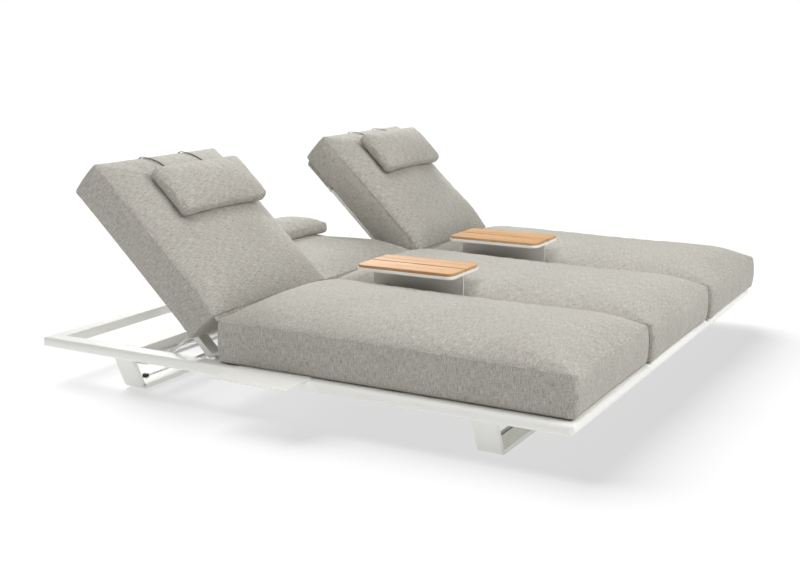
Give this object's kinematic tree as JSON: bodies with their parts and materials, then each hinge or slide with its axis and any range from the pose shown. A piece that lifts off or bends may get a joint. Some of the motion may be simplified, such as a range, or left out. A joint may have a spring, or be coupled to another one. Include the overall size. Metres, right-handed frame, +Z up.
{
  "type": "outdoor lounge bed",
  "caption": "Low platform lounge bed with side-by-side cushioned lounger modules, adjustable backrests, head pillows, clip-on slatted side tables and a side tray.",
  "frame": {"origin": "bottom centre of the whole bounding box, on the floor; the platform's own centre line is 61.5 mm towards +Y because the side tray sticks out on the near side only", "axes": "+X towards the foot end, +Y from the near lounger to the far lounger, +Z up"},
  "size_m": [2.095, 2.283, 0.8144],
  "materials": {
    "powder_coat": "matt off-white powder coat",
    "cushion_fabric": "woven melange outdoor fabric, warm light grey",
    "strap_webbing": "flat woven band, dark taupe",
    "teak": "oiled teak, straight grain",
    "fastener_steel": "stainless steel",
    "stay_steel": "powder-coated steel rod, light grey",
    "glide_plastic": "black nylon"
  },
  "bodies": {
    "platform": {"side_rail_near": "powder_coat", "side_rail_far": "powder_coat", "centre_beam_near": "powder_coat", "centre_beam_far": "powder_coat", "foot_crossbars": "powder_coat", "lower_crossbars": "powder_coat", "pivot_crossbars": "powder_coat", "seat_slats": "powder_coat", "stay_racks": "powder_coat", "pivot_brackets": "powder_coat", "rail_connectors": "powder_coat", "head_rail_near": "powder_coat", "head_leg_near": "powder_coat", "head_rail_middle": "powder_coat", "head_leg_middle": "powder_coat", "head_rail_far": "powder_coat", "head_leg_far": "powder_coat", "foot_rail_near": "powder_coat", "foot_leg_near": "powder_coat", "foot_rail_middle": "powder_coat", "foot_leg_middle": "powder_coat", "foot_rail_far": "powder_coat", "foot_leg_far": "powder_coat", "head_crossbar_near": "powder_coat", "head_crossbar_middle": "powder_coat", "head_crossbar_far": "powder_coat", "pivot_pins": "fastener_steel", "connector_bolts": "fastener_steel", "levelling_glides": "glide_plastic", "seat_cushion_near": "cushion_fabric", "seat_cushion_middle": "cushion_fabric", "seat_cushion_far": "cushion_fabric"},
    "back_frame_near": {"backrest_frame_near": "powder_coat"},
    "stay_near": {"backrest_stay_near": "stay_steel"},
    "back_near": {"back_cushion_near": "cushion_fabric", "frame_pocket_near": "cushion_fabric", "pillow_straps_near": "strap_webbing"},
    "pillow_near": {"head_pillow_near": "cushion_fabric"},
    "back_frame_middle": {"backrest_frame_middle": "powder_coat"},
    "stay_middle": {"backrest_stay_middle": "stay_steel"},
    "back_middle": {"back_cushion_middle": "cushion_fabric", "frame_pocket_middle": "cushion_fabric", "pillow_straps_middle": "strap_webbing"},
    "pillow_middle": {"head_pillow_middle": "cushion_fabric"},
    "back_frame_far": {"backrest_frame_far": "powder_coat"},
    "stay_far": {"backrest_stay_far": "stay_steel"},
    "back_far": {"back_cushion_far": "cushion_fabric", "frame_pocket_far": "cushion_fabric", "pillow_straps_far": "strap_webbing"},
    "pillow_far": {"head_pillow_far": "cushion_fabric"},
    "table_near": {"table_plate_near": "powder_coat", "table_tray_near": "powder_coat", "table_slats_near": "teak", "table_screws_near": "fastener_steel"},
    "table_far": {"table_plate_far": "powder_coat", "table_tray_far": "powder_coat", "table_slats_far": "teak", "table_screws_far": "fastener_steel"},
    "side_tray": {"side_tray": "powder_coat"}
  },
  "joints": [
    {"name": "back_raise_near", "type": "hinge", "parent": "platform", "child": "back_frame_near", "pos_m": [-0.342, -0.6385, 0.1755], "axis": [0, 1, 0], "range_deg": [-43.5, 11.5]},
    {"name": "back_cushion_tilt_near", "type": "hinge", "parent": "platform", "child": "back_near", "pos_m": [-0.257, -0.6475, 0.329], "axis": [0, 1, 0], "range_deg": [-43.5, 11.5]},
    {"name": "stay_swing_near", "type": "hinge", "parent": "back_frame_near", "child": "stay_near", "pos_m": [-0.41857, -0.6385, 0.22266], "axis": [0, 1, 0], "range_deg": [-20, 75]},
    {"name": "pillow_slide_near", "type": "slide", "parent": "back_near", "child": "pillow_near", "axis": [-0.7254, 0, 0.6884], "range_m": [-0.2, 0.1]},
    {"name": "back_raise_middle", "type": "hinge", "parent": "platform", "child": "back_frame_middle", "pos_m": [-0.342, 0.0615, 0.1755], "axis": [0, 1, 0], "range_deg": [0, 55]},
    {"name": "back_cushion_tilt_middle", "type": "hinge", "parent": "platform", "child": "back_middle", "pos_m": [-0.257, 0.0615, 0.329], "axis": [0, 1, 0], "range_deg": [0, 55]},
    {"name": "stay_swing_middle", "type": "hinge", "parent": "back_frame_middle", "child": "stay_middle", "pos_m": [-0.43, 0.0615, 0.157], "axis": [0, 1, 0], "range_deg": [-94, 1]},
    {"name": "pillow_slide_middle", "type": "slide", "parent": "back_middle", "child": "pillow_middle", "axis": [-1, 0, 0], "range_m": [-0.2, 0.1]},
    {"name": "back_raise_far", "type": "hinge", "parent": "platform", "child": "back_frame_far", "pos_m": [-0.307, 0.7615, 0.1755], "axis": [0, 1, 0], "range_deg": [-43.5, 11.5]},
    {"name": "back_cushion_tilt_far", "type": "hinge", "parent": "platform", "child": "back_far", "pos_m": [-0.222, 0.7705, 0.329], "axis": [0, 1, 0], "range_deg": [-43.5, 11.5]},
    {"name": "stay_swing_far", "type": "hinge", "parent": "back_frame_far", "child": "stay_far", "pos_m": [-0.38357, 0.7615, 0.22266], "axis": [0, 1, 0], "range_deg": [-20, 75]},
    {"name": "pillow_slide_far", "type": "slide", "parent": "back_far", "child": "pillow_far", "axis": [-0.7254, 0, 0.6884], "range_m": [-0.2, 0.1]},
    {"name": "table_slide_near", "type": "slide", "parent": "platform", "child": "table_near", "axis": [1, 0, 0], "range_m": [-0.19, 0.64]},
    {"name": "table_slide_far", "type": "slide", "parent": "platform", "child": "table_far", "axis": [1, 0, 0], "range_m": [-0.182, 0.62]},
    {"name": "side_tray_slide", "type": "slide", "parent": "platform", "child": "side_tray", "axis": [1, 0, 0], "range_m": [-0.08, 0.85]}
  ],
  "couplings": [
    {"joint": "back_cushion_tilt_near", "follows": "back_raise_near", "ratio": 1},
    {"joint": "stay_swing_near", "follows": "back_raise_near", "ratio": -1.7141},
    {"joint": "back_cushion_tilt_middle", "follows": "back_raise_middle", "ratio": 1},
    {"joint": "stay_swing_middle", "follows": "back_raise_middle", "ratio": -1.7044},
    {"joint": "back_cushion_tilt_far", "follows": "back_raise_far", "ratio": 1},
    {"joint": "stay_swing_far", "follows": "back_raise_far", "ratio": -1.7141}
  ]
}
